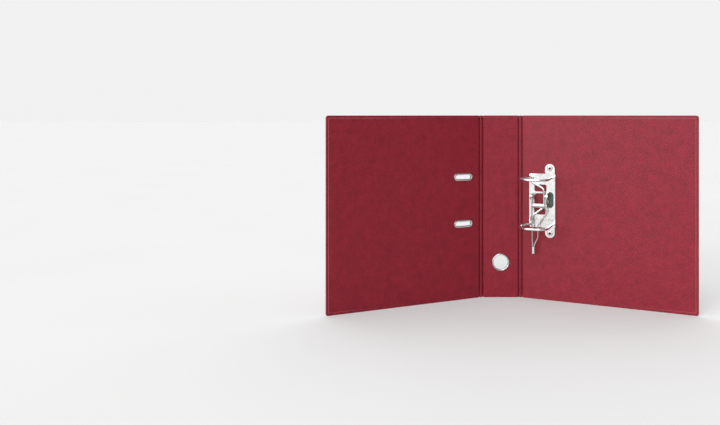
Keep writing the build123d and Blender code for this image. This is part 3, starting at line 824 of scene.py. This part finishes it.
def tube(name, path, radius, finish, sides=12):
    """A round wire through the path's points, with closed ends."""
    points, faces = [], []
    normal = None
    for k, p in enumerate(path):
        ahead = (path[min(k + 1, len(path) - 1)] - path[max(k - 1, 0)]).normalized()
        if normal is None:
            normal = ahead.orthogonal().normalized()
        normal = (normal - ahead * normal.dot(ahead)).normalized()
        cross = ahead.cross(normal)
        for i in range(sides):
            a = 2 * math.pi * i / sides
            points.append(p + (normal * math.cos(a) + cross * math.sin(a)) * radius)
    for k in range(len(path) - 1):
        for i in range(sides):
            j = (i + 1) % sides
            faces.append((k * sides + i, k * sides + j, (k + 1) * sides + j, (k + 1) * sides + i))
    faces.append(tuple(reversed(range(sides))))
    faces.append(tuple(range((len(path) - 1) * sides, len(path) * sides)))
    mesh = bpy.data.meshes.new(name)
    mesh.from_pydata(points, [], faces)
    mesh.materials.append(finish)
    return finish_mesh(name, mesh, 50.0)


def spring():
    """The torsion spring round the arch wire's lower bearing: one leg on the plate, one on the crank."""
    axle_u, axle_n, mean, wire = 17.0, 5.0, 2.95, 0.42
    top_v, end_v, turns, steps = -29.4, -33.8, 4.25, 26
    path = []
    for i in range(round(turns * steps) + 1):
        a = 2 * math.pi * i / steps - 0.5 * math.pi
        share = i / (turns * steps)
        v = end_v + wire + (top_v - end_v - 2 * wire) * share
        path.append(on_mechanism(axle_u + mean * math.cos(a), v, axle_n + mean * math.sin(a)))
    leg_end = on_mechanism(axle_u - 7.0, end_v + wire, axle_n - mean - 0.1)
    leg_start = on_mechanism(axle_u - 3.0, end_v + wire, axle_n - mean)
    tip = on_mechanism(axle_u + mean + 0.2, top_v - wire + 0.4, axle_n + 2.0)
    made = tube("arch_spring_coil", [leg_end, leg_start] + path + [tip], wire * MM, SPRING)
    still = on_mechanism(axle_u, end_v + 0.6, axle_n)
    turning = on_mechanism(axle_u, top_v - 0.6, axle_n)
    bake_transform(made)
    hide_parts("arch_spring")


spring()


# ---------------------------------------------------------------- floor, light and camera
def floor():
    made, tree, shader = material("studio_floor")
    place = position(tree)
    cloud = noise(tree, place, 3.0, 2.0, 0.5)
    colour = mix(tree, ramp(tree, cloud, 0.3, 0.7), (0.528, 0.528, 0.528), (0.538, 0.538, 0.538))
    tree.links.new(colour, shader.inputs["Base Color"])
    shader.inputs["Roughness"].default_value = 1.0
    shader.inputs["Specular IOR Level"].default_value = 0.0
    reach, steps = 30.0, 6
    row = steps + 1
    places = [reach * (2 * i / steps - 1) for i in range(row)]
    points = [(x, y, 0.0) for y in places for x in places]
    corners = [j * row + i for j in range(steps) for i in range(steps)]
    faces = [(k, k + 1, k + row + 1, k + row) for k in corners]
    mesh = bpy.data.meshes.new("studio_floor")
    mesh.from_pydata(points, [], faces)
    mesh.materials.append(made)
    done = bpy.data.objects.new("studio_floor", mesh)
    bpy.context.scene.collection.objects.link(done)


floor()


def aimed(name, light, place, target):
    made = bpy.data.objects.new(name, light)
    bpy.context.scene.collection.objects.link(made)
    made.location = place
    made.rotation_mode = "QUATERNION"
    made.rotation_quaternion = (Vector(target) - Vector(place)).to_track_quat("-Z", "Y")
    return made


def sun(name, toward, strength, spread):
    light = bpy.data.lights.new(name, "SUN")
    light.energy = strength
    light.angle = math.radians(spread)
    return aimed(name, light, Vector(toward), (0, 0, 0))


sun("key", (-0.75, -0.68, 0.29), 0.86, 24)
sun("front", (-0.05, -1.0, 0.36), 0.60, 26)
sun("top", (-0.15, -0.46, 0.86), 1.20, 30)


PALE = (0.885, 0.885, 0.885)
BRIGHT_PANEL, DARK_PANEL, BEHIND = (2.60, 2.60, 2.60), (0.04, 0.04, 0.045), (1.8, 1.8, 1.8)


def sky():
    """A pale backdrop for the camera. Light and reflections meet a studio instead: in front a bright panel
    on the left and a dark one on the right, and a bright wall behind."""
    world = bpy.data.worlds.new("studio")
    world.use_nodes = True
    tree = world.node_tree
    background = tree.nodes["Background"]
    place = tree.nodes.new("ShaderNodeTexCoord")
    split = tree.nodes.new("ShaderNodeSeparateXYZ")
    tree.links.new(place.outputs["Generated"], split.inputs[0])
    front = ramp(tree, split.outputs["Y"], 0.05, -0.35)
    band_low = ramp(tree, split.outputs["Z"], -0.05, 0.03)
    band_high = ramp(tree, split.outputs["Z"], 0.80, 0.45)
    band = calc(tree, "MULTIPLY", calc(tree, "MULTIPLY", band_low, band_high), front)
    panel = mix(tree, ramp(tree, split.outputs["X"], -0.30, 0.15), BRIGHT_PANEL, DARK_PANEL)
    colour = mix(tree, band, PALE, panel)
    far_back, raised = ramp(tree, split.outputs["Y"], 0.05, 0.5), ramp(tree, split.outputs["Z"], 0.2, 0.4)
    behind = calc(tree, "MULTIPLY", far_back, raised)
    colour = mix(tree, behind, colour, BEHIND)
    seen = tree.nodes.new("ShaderNodeLightPath").outputs["Is Camera Ray"]
    colour = mix(tree, seen, colour, PALE)
    tree.links.new(colour, background.inputs["Color"])
    background.inputs["Strength"].default_value = 1.0
    bpy.context.scene.world = world


sky()


def camera():
    lens = bpy.data.cameras.new("camera")
    lens.sensor_width = 36.0
    lens.lens = 34.34
    lens.shift_x, lens.shift_y = -0.0397, -0.1359
    lens.clip_start, lens.clip_end = 0.01, 200.0
    made = bpy.data.objects.new("camera", lens)
    bpy.context.scene.collection.objects.link(made)
    made.location = (-0.1942, -1.1909, 0.3163)
    made.rotation_euler = (math.radians(90), 0, 0)
    bpy.context.scene.camera = made


camera()
bpy.context.scene.view_settings.view_transform = "Standard"
